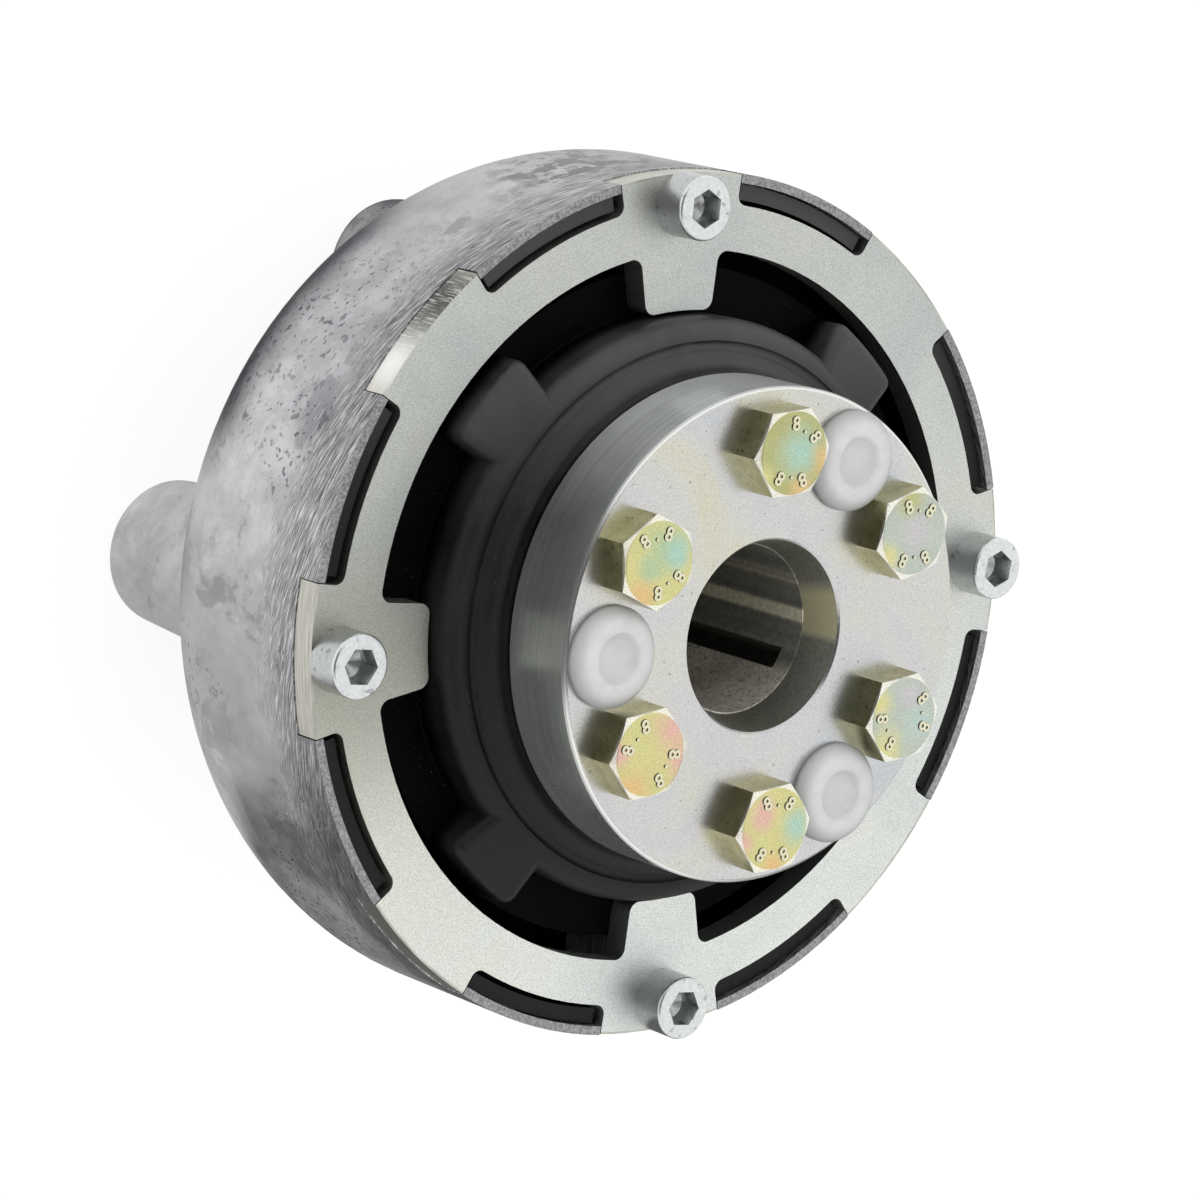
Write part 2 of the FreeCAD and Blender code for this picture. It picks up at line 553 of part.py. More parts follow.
def make_clamp_flange():
    """Front flange with a tapered mouth: the bolts pull it on to the sleeve's front cone."""
    body = new_body("clamp_flange")
    mouth = "mouth_diameter / 2"
    edge = "flange_chamfer"
    turned(body, "disc", [
        ("sleeve_waist_radius + cone_play", FLANGE_BACK),
        (f"flange_radius - {edge} / 2", FLANGE_BACK),
        ("flange_radius", f"{FLANGE_BACK} + {edge} / 2"),
        ("flange_radius", f"{FLANGE_FRONT} - {edge}"),
        (f"flange_radius - {edge}", FLANGE_FRONT),
        (f"{mouth} + {edge} / 2", FLANGE_FRONT),
        (mouth, f"{FLANGE_FRONT} - {edge} / 2"),
        (f"{SHAFT_RADIUS} + mouth_play", f"{SLEEVE_FRONT} + cone_play"),
        ("sleeve_nose_radius + cone_play", f"{SLEEVE_FRONT} + cone_play"),
    ])
    circle = new_sketch(body, "bolt_circle", "XY_Plane", f"{FLANGE_FRONT} + 1")
    draw_circle(circle, *around("bolt_circle_radius", "90 + drilling_turn"),
                "bolt_diameter / 2 + bolt_hole_play")
    hole = raised(body, "bolt_hole", circle, "flange_thickness + 2", cut=True)
    repeated(body, "bolt_holes", [hole], "bolt_count")
    circle = new_sketch(body, "jack_circle", "XY_Plane", f"{FLANGE_FRONT} + 1")
    draw_circle(circle, *around("cap_circle_radius", "90 + drilling_turn - 180 / bolt_count"),
                "jack_diameter / 2")
    hole = raised(body, "jack_hole", circle, "flange_thickness + 2", cut=True)
    repeated(body, "jack_holes", [hole], "cap_count")
    return body


def hexagon(body, name, flats, lift, turn):
    """A hexagon sketch, given across its flats."""
    sketch = new_sketch(body, name, "XY_Plane", lift, turn)
    corner = f"{flats} / sqrt(3)"
    draw_loop(sketch, [(f"{corner} * {side}", f"{flats} / 2 * {height}" if height else "0")
                       for side, height in ((1, 0), (0.5, 1), (-0.5, 1), (-1, 0), (-0.5, -1), (0.5, -1))])
    return sketch


def make_hex_bolt(number):
    """Hexagon bolt with a chamfered head and a plain shank at the thread's size."""
    body = new_body(f"hex_bolt_{number + 1}")
    outline = hexagon(body, "head_outline", "bolt_head_flats", FLANGE_FRONT, BOLT_TURNS[number])
    raised(body, "head", outline, "bolt_head_height")
    top = f"({FLANGE_FRONT} + bolt_head_height)"
    corner = "(bolt_head_flats / sqrt(3))"
    turned(body, "head_chamfer", [
        ("bolt_face_diameter / 2", top),
        (f"{corner} + 1", f"{top} - ({corner} + 1 - bolt_face_diameter / 2) * tan(bolt_chamfer_slope)"),
        (f"{corner} + 1", top),
    ], cut=True)
    turned(body, "shank", [
        ("0", f"{FLANGE_FRONT} - bolt_length"),
        ("bolt_diameter / 2 - tip_chamfer", f"{FLANGE_FRONT} - bolt_length"),
        ("bolt_diameter / 2", f"{FLANGE_FRONT} - bolt_length + tip_chamfer"),
        ("bolt_diameter / 2", f"{FLANGE_FRONT} + 1"),
        ("0", f"{FLANGE_FRONT} + 1"),
    ])
    place_round(body, "bolt_circle_radius", f"90 + drilling_turn - {number} * 360 / bolt_count")
    return body


def make_thread_cap(number):
    """Low domed plastic cap with a dished middle, plugged into a jacking thread."""
    body = new_body(f"thread_cap_{number + 1}")
    fall = "(cap_height - cap_edge)"
    dome = f"(((cap_radius - cap_shoulder_radius)^2 + {fall}^2) / (2 * {fall}))"
    turned(body, "dome", [
        ("0", f"{FLANGE_FRONT} - cap_stem_length"),
        ("jack_diameter / 2 - cap_stem_play", f"{FLANGE_FRONT} - cap_stem_length"),
        ("jack_diameter / 2 - cap_stem_play", FLANGE_FRONT),
        ("cap_radius", FLANGE_FRONT),
        ("cap_radius", f"{FLANGE_FRONT} + cap_edge", dome, 1),
        ("cap_shoulder_radius", f"{FLANGE_FRONT} + cap_height"),
        ("cap_dish_radius", f"{FLANGE_FRONT} + cap_height", "cap_dish * 1.5", -1),
        ("cap_dish_radius - cap_dish", f"{FLANGE_FRONT} + cap_height - cap_dish"),
        ("0", f"{FLANGE_FRONT} + cap_height - cap_dish"),
    ])
    angle = f"90 + drilling_turn - 180 / bolt_count - {number} * 360 / cap_count"
    place_round(body, "cap_circle_radius", angle)
    return body


def make_ring_screw(number):
    """Socket-head screw that holds the retaining ring on a tooth."""
    body = new_body(f"ring_screw_{number + 1}")
    tip = f"{RIM} - screw_length"
    turned(body, "screw", [
        ("0", tip),
        ("screw_diameter / 2 - tip_chamfer", tip),
        ("screw_diameter / 2", f"{tip} + tip_chamfer"),
        ("screw_diameter / 2", RIM),
        ("screw_head_diameter / 2", RIM),
        ("screw_head_diameter / 2", f"{RIM} + screw_head_height - screw_head_round", "screw_head_round", 1),
        ("screw_head_diameter / 2 - screw_head_round", f"{RIM} + screw_head_height"),
        ("0", f"{RIM} + screw_head_height"),
    ])
    outline = hexagon(body, "socket_outline", "socket_flats", f"{RIM} + screw_head_height",
                      SOCKET_TURNS[number])
    raised(body, "socket", outline, "socket_depth", cut=True)
    floor = f"({RIM} + screw_head_height - socket_depth)"
    turned(body, "drilled_cone", [
        ("0", f"{floor} - socket_drill_diameter / 2 * tan(30)"),
        ("socket_drill_diameter / 2", floor),
        ("0", floor),
    ], cut=True)
    place_round(body, SCREW_CIRCLE, f"90 - {number} * 360 / tooth_count")
    return body


def place_round(body, radius, angle):
    """Move a body out from the shaft axis."""
    across, up = around(radius, angle)
    body.setExpression("Placement.Base.x", bound(across))
    body.setExpression("Placement.Base.y", bound(up))
    doc.recompute()


pieces = [
    make_housing(),
    make_retaining_ring(),
    make_rubber_element(),
    make_inner_hub(),
    make_split_sleeve(),
    make_clamp_flange(),
]
pieces += [make_hex_bolt(number) for number in range(len(BOLT_TURNS))]
pieces += [make_thread_cap(number) for number in range(int(value("cap_count")))]
pieces += [make_ring_screw(number) for number in range(len(SOCKET_TURNS))]
doc.recompute()

failed = [item.Name for item in doc.Objects if {"Invalid", "Error"} & set(item.State)]
if failed:
    raise RuntimeError("these objects did not build: " + ", ".join(failed))
for piece in pieces:
    if piece.Shape.isNull() or not piece.Shape.isValid() or len(piece.Shape.Solids) != 1:
        raise RuntimeError(piece.Label + " is not one valid solid")

os.makedirs("parts", exist_ok=True)
for piece in pieces:
    piece.Shape.exportStep("parts/" + piece.Label + ".step")
    box = piece.Shape.BoundBox
    print(piece.Label, round(piece.Shape.Volume), "mm3", round(box.ZMin, 2), round(box.ZMax, 2))
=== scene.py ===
"""Looks of the flexible shaft coupling: materials, raised figures, studio light and camera.

Metres, in the frame of the model: +Z runs along the shaft towards the clamp flange, and the
coupling stands on its four rear bosses at z = 0. In the photo +Y points up and +X to the right.
"""

import math

import bmesh
import bpy
from mathutils import Matrix, Vector


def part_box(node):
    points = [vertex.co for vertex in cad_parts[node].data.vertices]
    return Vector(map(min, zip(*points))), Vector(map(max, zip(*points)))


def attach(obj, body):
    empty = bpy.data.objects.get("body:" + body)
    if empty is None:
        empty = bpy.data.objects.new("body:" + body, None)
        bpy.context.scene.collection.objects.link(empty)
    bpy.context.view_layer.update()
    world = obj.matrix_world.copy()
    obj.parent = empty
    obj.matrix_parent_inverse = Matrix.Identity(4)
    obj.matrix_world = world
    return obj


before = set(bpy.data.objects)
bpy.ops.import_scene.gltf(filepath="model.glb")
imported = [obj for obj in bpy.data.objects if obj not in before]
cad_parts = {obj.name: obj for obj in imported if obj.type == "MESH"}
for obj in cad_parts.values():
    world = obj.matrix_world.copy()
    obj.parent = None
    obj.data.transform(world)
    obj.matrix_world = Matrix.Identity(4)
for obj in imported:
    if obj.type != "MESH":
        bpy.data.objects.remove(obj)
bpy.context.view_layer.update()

MM = 0.001
WHITE = (1, 1, 1)

# Camera of the photograph
CAMERA_PLACE = Vector((-659.4, 236.0, 908.8)) * MM
CAMERA_VIEW = Vector((0.60717, -0.21981, -0.76356))
CAMERA_UP = Vector((0.11763, 0.97525, -0.18722))
CAMERA_LENS = 155.45
SENSOR_WIDTH = 36.0
CAMERA_REACH = (0.05, 20)

# Heights and radii that the materials need, read from the model
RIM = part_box("retaining_ring")[1][2]
HOUSING_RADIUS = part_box("housing")[1][0]
RING_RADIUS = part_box("retaining_ring")[1][0]
FLANGE_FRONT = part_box("clamp_flange")[1][2]
FLANGE_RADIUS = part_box("clamp_flange")[1][0]
BOLT_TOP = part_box("hex_bolt_1")[1][2]
SCREW_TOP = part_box("ring_screw_1")[1][2]


def middle_of(node):
    """Middle of a node's box, seen along the shaft."""
    low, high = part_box(node)
    return Vector(((low[0] + high[0]) / 2, (low[1] + high[1]) / 2, 0))


class Tree:
    """The node tree of a material or of the world, built up one node at a time."""

    def __init__(self, owner, empty=False):
        owner.use_nodes = True
        self.nodes, self.links = owner.node_tree.nodes, owner.node_tree.links
        if empty:
            self.nodes.clear()

    def add(self, kind, inputs=None, **settings):
        """A new node, with its settings made and its inputs fed."""
        node = self.nodes.new("ShaderNode" + kind)
        for name, choice in settings.items():
            setattr(node, name, choice)
        for name, fed in (inputs or {}).items():
            self.feed(node.inputs[name], fed)
        return node

    def feed(self, socket, fed):
        """Set a socket to a number or colour, or link an output to it."""
        if isinstance(fed, bpy.types.NodeSocket):
            self.links.new(fed, socket)
        elif isinstance(fed, tuple) and len(fed) == 3 and socket.type == "RGBA":
            socket.default_value = (*fed, 1)
        else:
            socket.default_value = fed

    def maths(self, operation, first, second):
        return self.add("Math", {0: first, 1: second}, operation=operation).outputs[0]

    def plus(self, first, second):
        return self.maths("ADD", first, second)

    def minus(self, first, second):
        return self.maths("SUBTRACT", first, second)

    def times(self, first, second):
        return self.maths("MULTIPLY", first, second)

    def least(self, first, second):
        return self.maths("MINIMUM", first, second)

    def most(self, first, second):
        return self.maths("MAXIMUM", first, second)

    def seen(self):
        """1 for camera rays, reflections and rays through clear things, 0 for diffuse light."""
        rays = self.add("LightPath").outputs
        return self.most(self.most(rays["Is Camera Ray"], rays["Is Glossy Ray"]),
                         rays["Is Transmission Ray"])


class Shader(Tree):
    """A material's node tree, with the place of the point that it colours."""

    def __init__(self, name):
        self.material = bpy.data.materials.new(name)
        super().__init__(self.material)
        self.place = self.add("TexCoord").outputs["Object"]
        parts = self.add("SeparateXYZ", {"Vector": self.place}).outputs
        self.x, self.y, self.z = parts["X"], parts["Y"], parts["Z"]

    def finish(self, **inputs):
        """Feed the surface's sockets, named with underscores for spaces."""
        surface = self.nodes["Principled BSDF"]
        for name, fed in inputs.items():
            self.feed(surface.inputs[name.replace("_", " ")], fed)
        return self.material

    def direction(self):
        """Direction about the shaft axis, in radians from +X."""
        return self.maths("ARCTAN2", self.y, self.x)

    def distance(self, middle=(0, 0, 0)):
        """Distance from the shaft axis, or from a line beside it through the given middle."""
        flat = self.add("CombineXYZ", {"X": self.x, "Y": self.y}).outputs["Vector"]
        return self.add("VectorMath", {0: flat, 1: tuple(middle)}, operation="DISTANCE").outputs["Value"]

    def grazing(self):
        """0 where the surface faces the eye, and 1 at its outline."""
        return self.add("LayerWeight", {"Blend": 0.5}).outputs["Facing"]

    def noise(self, scale, detail, rough, stretch=None, bend=0, shift=0):
        """Noise round 0.5: blotches in a metre, octaves of detail and how much those count."""
        place = self.place
        if stretch:
            place = self.add("Mapping", {"Vector": place, "Scale": stretch}).outputs["Vector"]
        if shift:
            place = self.add("VectorMath", {0: place, 1: (shift, shift, shift)}).outputs["Vector"]
        return self.add("TexNoise", {"Vector": place, "Scale": scale, "Detail": detail,
                                     "Roughness": rough, "Distortion": bend}).outputs["Fac"]

    def strokes(self, slant, fine, long, detail, rough):
        """Strokes that run round a side: their slant, and their number in a metre each way."""
        arc = self.times(self.direction(), HOUSING_RADIUS)
        slid = self.plus(self.z, self.times(arc, slant))
        unrolled = self.add("CombineXYZ", {"X": self.times(arc, long), "Y": self.times(slid, fine)})
        return self.add("TexNoise", {"Vector": unrolled.outputs["Vector"], "Scale": 1.0,
                                     "Detail": detail, "Roughness": rough}).outputs["Fac"]

    def step(self, fed, edge, start=0, end=1):
        """Go smoothly from start to end as what is fed passes an edge, given by its two ends."""
        return self.add("MapRange", {"Value": fed, "From Min": edge[0], "From Max": edge[1],
                                     "To Min": start, "To Max": end},
                        interpolation_type="SMOOTHSTEP").outputs["Result"]

    def between(self, share, start, end):
        """Go smoothly from start to end as a share goes from 0 to 1."""
        return self.step(share, (0, 1), start, end)

    def patch(self, middle, reach, ragged=0):
        """1 at a place, falling to 0 at its reach, with a ragged edge. All in millimetres."""
        distance = self.add("VectorMath", {0: self.place, 1: tuple(Vector(middle) * MM)},
                            operation="DISTANCE").outputs["Value"]
        if ragged:
            uneven = self.minus(self.noise(150, 3, 0.6, shift=reach), 0.5)
            distance = self.plus(distance, self.times(uneven, ragged * MM * 2))
        return self.step(distance, (0, reach * MM), 1, 0)

    def ramp(self, fed, stops):
        """A colour for each value: the stops are pairs of value and colour."""
        node = self.add("ValToRGB", {"Fac": fed})
        while len(node.color_ramp.elements) < len(stops):
            node.color_ramp.elements.new(0.5)
        for element, (place, colour) in zip(node.color_ramp.elements, stops):
            element.position = place
            element.color = (*colour, 1)
        return node.outputs["Color"]

    def blend(self, share, first, second):
        """The first colour, with a share of the second."""
        inputs = {"Factor": share, "A": first, "B": second}
        return self.add("Mix", inputs, data_type="RGBA").outputs["Result"]

    def tint(self, colour, by):
        """Multiply a colour by a number."""
        return self.add("VectorMath", {0: colour, "Scale": by}, operation="SCALE").outputs["Vector"]

    def bump(self, height, depth, strength, under=None):
        """Relief of a depth in millimetres, on top of another relief if one is under it."""
        inputs = {"Height": height, "Distance": depth * MM, "Strength": strength}
        if under:
            inputs["Normal"] = under
        return self.add("Bump", inputs).outputs["Normal"]


# The casting: its colours, the ramps with the noise that they belong to
CAST_BLOTCHES = ((0.32, (0.36, 0.357, 0.375)), (0.45, (0.49, 0.485, 0.50)),
                 (0.55, (0.56, 0.555, 0.57)), (0.68, (0.62, 0.615, 0.625)))
CAST_STAIN = (0.22, 0.215, 0.23)
CAST_SCORCH = (0.08, 0.08, 0.09)
CAST_PIT = (0.10, 0.095, 0.105)
CAST_SANDED = ((0.41, (0.09, 0.09, 0.095)), (0.5, (0.28, 0.28, 0.285)), (0.58, (0.76, 0.76, 0.76)))
CAST_WORN = ((0.4, (0.20, 0.205, 0.21)), (0.62, (0.38, 0.39, 0.39)))
# Tint of the reflection in the painted shade on the shoulder
CAST_SHOULDER_SHADE_TINT = (0.2, 0.2, 0.22)
# The two ends of each soft edge between its zones: Y is up in the photo, Z the height
# The Y zones and the edges of the boss and the shoulder bound painted light and shade
PAINTED_LIGHT_Y_LOW = (-66 * MM, -22 * MM)
PAINTED_SHADE_Y_MIDDLE = (-12 * MM, 35 * MM)
PAINTED_SHADE_Y_TOP = (50 * MM, 88 * MM)
PAINTED_SHADE_Y_DRIFT = 80 * MM
BOSS_SHADE_Y_UPPER = (40 * MM, 60 * MM)
BOSS_SHADE_Z_END = (30 * MM, 40 * MM)
SHOULDER_SHADE_Y_START, SHOULDER_SHADE_Y_END = (24 * MM, 45 * MM), (74 * MM, 86 * MM)
SHOULDER_SHADE_Z_START, SHOULDER_SHADE_Z_END = (34 * MM, 42 * MM), (50 * MM, 70 * MM)
SANDED_Z_START = (RIM + 8 * MM, RIM + 14 * MM)
SANDED_Z_DRIFT, SANDED_Z_RAGGED = 16 * MM, 34 * MM
RIM_FACE_Z_START = (RIM - 0.3 * MM, RIM - 0.1 * MM)
# Marks at one place: middle and reach in millimetres
DARKER_PATCH_PLACE = ((-93, -20, 60), 30)
SCORCHED_PLACE = ((-10, 90, 84), 28)
PITTED_PLACE = ((-68, 66, 77), 34)


def cast_aluminium():
    """Grey casting with blotches and pits, a rough-sanded band beside the rim, and painted light and
    shade.
    """
    shader = Shader("cast_aluminium")
    colour = shader.ramp(shader.noise(20, 5, 0.6, bend=0.4), CAST_BLOTCHES)
    mottle = shader.noise(95, 7, 0.75, bend=0.3)
    colour = shader.tint(colour, shader.step(mottle, (0.38, 0.62), 0.84, 1.10))

    # Stains with a darker edge, and one broken darker patch low on the left side
    tide = shader.noise(38, 6, 0.7, bend=0.3, shift=6)
    stain = shader.times(shader.step(tide, (0.545, 0.60)), shader.step(tide, (0.60, 0.70), 0.50, 0.25))
    low_darker_patch = shader.times(shader.patch(*DARKER_PATCH_PLACE, ragged=12),
                             shader.step(mottle, (0.47, 0.53), 0, 0.6))
    colour = shader.blend(shader.most(stain, low_darker_patch), colour, CAST_STAIN)

    # Painted light and shade by height: pale in the middle of the left side and at the bottom,
    # darker between them and at the top
    drift = shader.times(shader.minus(shader.noise(28, 3, 0.6, shift=2), 0.5), PAINTED_SHADE_Y_DRIFT)
    level = shader.plus(shader.y, drift)
    painted_shade_above = shader.least(shader.step(level, PAINTED_SHADE_Y_MIDDLE, 0.84, 1.15),
                               shader.step(level, PAINTED_SHADE_Y_TOP, 1.15, 1.0))
    painted_light_below = shader.step(level, PAINTED_LIGHT_Y_LOW, 2.3, 0.80)
    colour = shader.tint(colour, shader.most(painted_shade_above, painted_light_below))

    # Dark scorch marks at the top, and painted shade on the upper boss
    speckle = shader.noise(190, 6, 0.7, bend=0.4, shift=1)
    scorch = shader.times(shader.patch(*SCORCHED_PLACE, ragged=10),
                          shader.step(speckle, (0.45, 0.58), 0, 1.4))
    colour = shader.blend(shader.least(scorch, 0.75), colour, CAST_SCORCH)
    boss = shader.times(shader.step(shader.z, BOSS_SHADE_Z_END, 1, 0), shader.step(shader.y, BOSS_SHADE_Y_UPPER))
    colour = shader.tint(colour, shader.between(boss, 1.0, 0.6))

    # Pits and larger spots, in fields
    pit_field = shader.most(shader.step(shader.noise(34, 3, 0.5, shift=3), (0.47, 0.62)),
                            shader.patch(*PITTED_PLACE))
    pits = shader.step(shader.noise(760, 2, 0.5), (0.61, 0.67))
    spots = shader.step(shader.noise(300, 3, 0.55, shift=7), (0.62, 0.68))
    pits = shader.times(shader.most(pits, shader.times(spots, 0.8)), pit_field)
    colour = shader.blend(shader.times(pits, 0.75), colour, CAST_PIT)

    # Sanding strokes in a band with a ragged lower edge, and the worn face of the rim
    fine = shader.strokes(0.28, 5200, 260, 4, 0.7)
    coarse = shader.strokes(0.24, 2100, 130, 3, 0.6)
    lines = shader.plus(shader.times(fine, 0.55), shader.times(coarse, 0.45))
    ragged = shader.plus(shader.times(shader.noise(26, 3, 0.5, shift=11), SANDED_Z_DRIFT),
                         shader.times(coarse, SANDED_Z_RAGGED))
    sanded = shader.step(shader.plus(shader.z, ragged), SANDED_Z_START)
    colour = shader.blend(shader.times(sanded, 0.9), colour, shader.ramp(lines, CAST_SANDED))
    rim_face = shader.step(shader.z, RIM_FACE_Z_START)
    worn = shader.ramp(shader.noise(1400, 4, 0.6, shift=5), CAST_WORN)
    colour = shader.blend(shader.times(rim_face, 0.9), colour, worn)

    # Painted shade at the outline: darker at a grazing angle. Painted shade on the upper left of the
    # bowl's shoulder: it is dark and reflects little
    colour = shader.tint(colour, shader.step(shader.grazing(), (0.62, 0.96), 1.0, 0.66))
    upper = shader.least(shader.step(shader.y, SHOULDER_SHADE_Y_START),
                         shader.step(shader.y, SHOULDER_SHADE_Y_END, 1, 0))
    shoulder = shader.least(shader.step(shader.z, SHOULDER_SHADE_Z_END, 0.70, 0),
                            shader.step(shader.z, SHOULDER_SHADE_Z_START))
    colour = shader.tint(colour, shader.minus(1.0, shader.times(shoulder, upper)))

    relief = shader.bump(shader.noise(1100, 3, 0.6), 0.06, 0.5)
    relief = shader.bump(pits, -0.2, 0.5, relief)
    relief = shader.bump(shader.times(lines, sanded), 0.2, 0.6, relief)
    roughness = shader.step(mottle, (0.3, 0.7), 0.33, 0.46)
    return shader.finish(Base_Color=colour, Metallic=0.9, Roughness=roughness, Normal=relief,
                         Specular_Tint=shader.blend(upper, WHITE, CAST_SHOULDER_SHADE_TINT))


# The retaining ring: its colours and soft edges
RING_PLATE = ((0.3, (0.55, 0.585, 0.57)), (0.52, (0.63, 0.65, 0.615)), (0.72, (0.64, 0.64, 0.57)))
RING_BROWN = (0.34, 0.335, 0.27)
RING_GROUND = ((0.35, (0.40, 0.39, 0.345)), (0.65, (0.62, 0.61, 0.55)))
RING_POLISH = (0.92, 0.91, 0.88)
RING_SCORE = (0.05, 0.05, 0.055)
RING_Y_SHADE = (-90 * MM, 80 * MM)
RING_EDGE_START = (RING_RADIUS - 0.6 * MM, RING_RADIUS - 0.3 * MM)
# Marks at one place: middle and reach in millimetres
LEFT_DARKER_PLACE = ((-84, -4, 100), 46)
POLISHED_PLACE = ((-69.5, 57.5, 100), 12)
SCORED_PLACE = ((-58, 69, 100), 17)


def pale_zinc():
    """Matt zinc plate with a fine grain, darker and browner on its left, painted light and shade by
    height, and ground edges on its tabs.
    """
    shader = Shader("pale_zinc")
    colour = shader.ramp(shader.noise(24, 4, 0.6, bend=0.5), RING_PLATE)
    # Darker and browner on its left
    colour = shader.blend(shader.times(shader.patch(*LEFT_DARKER_PLACE), 0.75), colour, RING_BROWN)
    grain = shader.noise(3600, 2, 0.7)
    colour = shader.tint(colour, shader.step(grain, (0.3, 0.7), 0.76, 1.16))
    # Painted light and shade: lighter towards the bottom, a little darker towards the top
    colour = shader.tint(colour, shader.step(shader.y, RING_Y_SHADE, 1.26, 0.93))

    # Ground edge: polished at one tab, and scored across beside the polish
    ground = shader.ramp(shader.strokes(0.0, 2600, 120, 3, 0.6), RING_GROUND)
    ground = shader.blend(shader.times(shader.patch(*POLISHED_PLACE), 0.9), ground, RING_POLISH)
    across_edge = shader.strokes(0.0, 130, 2400, 3, 0.7)
    scored = shader.times(shader.patch(*SCORED_PLACE), shader.step(across_edge, (0.38, 0.50)))
    ground = shader.blend(shader.times(scored, 0.95), ground, RING_SCORE)
    edge = shader.step(shader.distance(), RING_EDGE_START)
    colour = shader.blend(edge, colour, ground)
    return shader.finish(Base_Color=colour, Metallic=1.0, Roughness=shader.between(edge, 0.42, 0.34),
                         Normal=shader.bump(grain, 0.05, 0.7))


# The clamp flange: its colours
FLANGE_FACE = ((0.34, (0.69, 0.67, 0.52)), (0.45, (0.68, 0.68, 0.62)),
               (0.55, (0.67, 0.66, 0.66)), (0.66, (0.60, 0.625, 0.65)))
FLANGE_SPECK = (0.22, 0.21, 0.17)
FLANGE_SIDE = ((0.35, (0.50, 0.53, 0.515)), (0.65, (0.62, 0.64, 0.62)))
FLANGE_ARRIS_SHADE = (0.12, 0.125, 0.125)
FLANGE_PAINTED_HIGHLIGHT = (0.96, 0.96, 0.94)
# Its soft edges: out from the shaft, up in the photo (Y), and in height (Z)
# Painted light and shade: the face's bright edge line, the side's middle and top, the arris line
PAINTED_HIGHLIGHT_START = (FLANGE_RADIUS - 0.7 * MM, FLANGE_RADIUS - 0.5 * MM)
FLANGE_SIDE_START = (FLANGE_RADIUS - 0.4 * MM, FLANGE_RADIUS - 0.1 * MM)
FLANGE_SHADE_Y_MIDDLE = (-5 * MM, 18 * MM)
FLANGE_LIGHT_Y_UPPER = (22 * MM, 56 * MM)
ARRIS_SHADE_Z_START = (FLANGE_FRONT - 0.8 * MM, FLANGE_FRONT - 0.5 * MM)
# Its tapered mouth: colours, soft edges, and the ends in radians about the shaft of its painted light
MOUTH_STEEL = ((0.35, (0.36, 0.37, 0.34)), (0.65, (0.52, 0.53, 0.48)))
MOUTH_PAINTED_LIGHT = ((0.36, (0.96, 0.90, 0.56)), (0.6, (1.0, 0.99, 0.76)))
MOUTH_RIM = (20.2 * MM, 20.5 * MM)
MOUTH_Z_END = (FLANGE_FRONT - 0.6 * MM, FLANGE_FRONT - 0.3 * MM)
MOUTH_PAINTED_LIGHT_START, MOUTH_PAINTED_LIGHT_END = (-0.24, -0.12), (0.28, 0.54)


def bright_zinc_flange():
    """Turned steel with bright zinc, faintly yellow, pink and blue in patches, with painted light and
    shade on its edge, side and mouth.
    """
    shader = Shader("bright_zinc_flange")
    colour = shader.ramp(shader.noise(26, 4, 0.55, bend=0.9), FLANGE_FACE)
    grain = shader.noise(2600, 3, 0.75)
    colour = shader.tint(colour, shader.step(grain, (0.3, 0.7), 0.84, 1.08))
    specks = shader.step(shader.noise(760, 2, 0.5, shift=5), (0.69, 0.73))
    colour = shader.blend(shader.times(specks, 0.5), colour, FLANGE_SPECK)
    distance = shader.distance()
    # Painted highlight: a bright line round the face's edge
    painted_highlight = shader.step(distance, PAINTED_HIGHLIGHT_START)
    colour = shader.blend(shader.times(painted_highlight, 0.8), colour, FLANGE_PAINTED_HIGHLIGHT)

    # Turned side with painted light and shade: darker in its middle, paler and duller above, and a dark
    # line of painted shade at the arris
    side = shader.step(distance, FLANGE_SIDE_START)
    upper = shader.step(shader.y, FLANGE_LIGHT_Y_UPPER)
    side_colour = shader.ramp(shader.noise(45, 4, 0.6, shift=9), FLANGE_SIDE)
    side_colour = shader.tint(side_colour, shader.step(shader.y, FLANGE_SHADE_Y_MIDDLE, 1.1, 0.70))
    side_colour = shader.tint(side_colour, shader.between(upper, 1.0, 1.45))
    turning = shader.noise(1, 3, 0.6, stretch=(20, 20, 2400))
    side_colour = shader.tint(side_colour, shader.step(turning, (0.35, 0.65), 0.88, 1.1))
    arris = shader.step(shader.z, ARRIS_SHADE_Z_START)
    side_colour = shader.blend(shader.times(arris, 0.7), side_colour, FLANGE_ARRIS_SHADE)
    colour = shader.blend(side, colour, side_colour)

    # Tapered mouth: grey steel, and painted light in pale yellow where the light falls in
    mouth = shader.times(shader.step(distance, MOUTH_RIM, 1, 0), shader.step(shader.z, MOUTH_Z_END, 1, 0))
    turn = shader.direction()
    lit = shader.times(shader.step(turn, MOUTH_PAINTED_LIGHT_START), shader.step(turn, MOUTH_PAINTED_LIGHT_END, 1, 0))
    steel = shader.ramp(shader.noise(1500, 3, 0.6, shift=2), MOUTH_STEEL)
    yellow = shader.ramp(shader.noise(2600, 3, 0.6, shift=2), MOUTH_PAINTED_LIGHT)
    colour = shader.blend(mouth, colour, shader.blend(lit, steel, yellow))

    roughness = shader.plus(shader.between(side, 0.27, 0.22), shader.times(mouth, 0.15))
    # Less metallic on the upper side, along with its painted light
    dull = shader.times(side, shader.between(upper, 0.2, 0.75))
    return shader.finish(Base_Color=colour, Metallic=shader.minus(1.0, dull), Roughness=roughness,
                         Normal=shader.bump(grain, 0.03, 0.5))


# Colours that chromate takes on zinc
TINTS = {
    "olive": (0.54, 0.54, 0.25), "yellow": (0.75, 0.71, 0.33), "orange": (0.80, 0.55, 0.26),
    "pink": (0.80, 0.50, 0.42), "lilac": (0.62, 0.59, 0.61), "cyan": (0.45, 0.66, 0.55),
    "green": (0.48, 0.62, 0.38), "silver": (0.58, 0.64, 0.55), "pale blue": (0.52, 0.65, 0.60),
}
BARE_ZINC = (0.97, 0.95, 0.86)
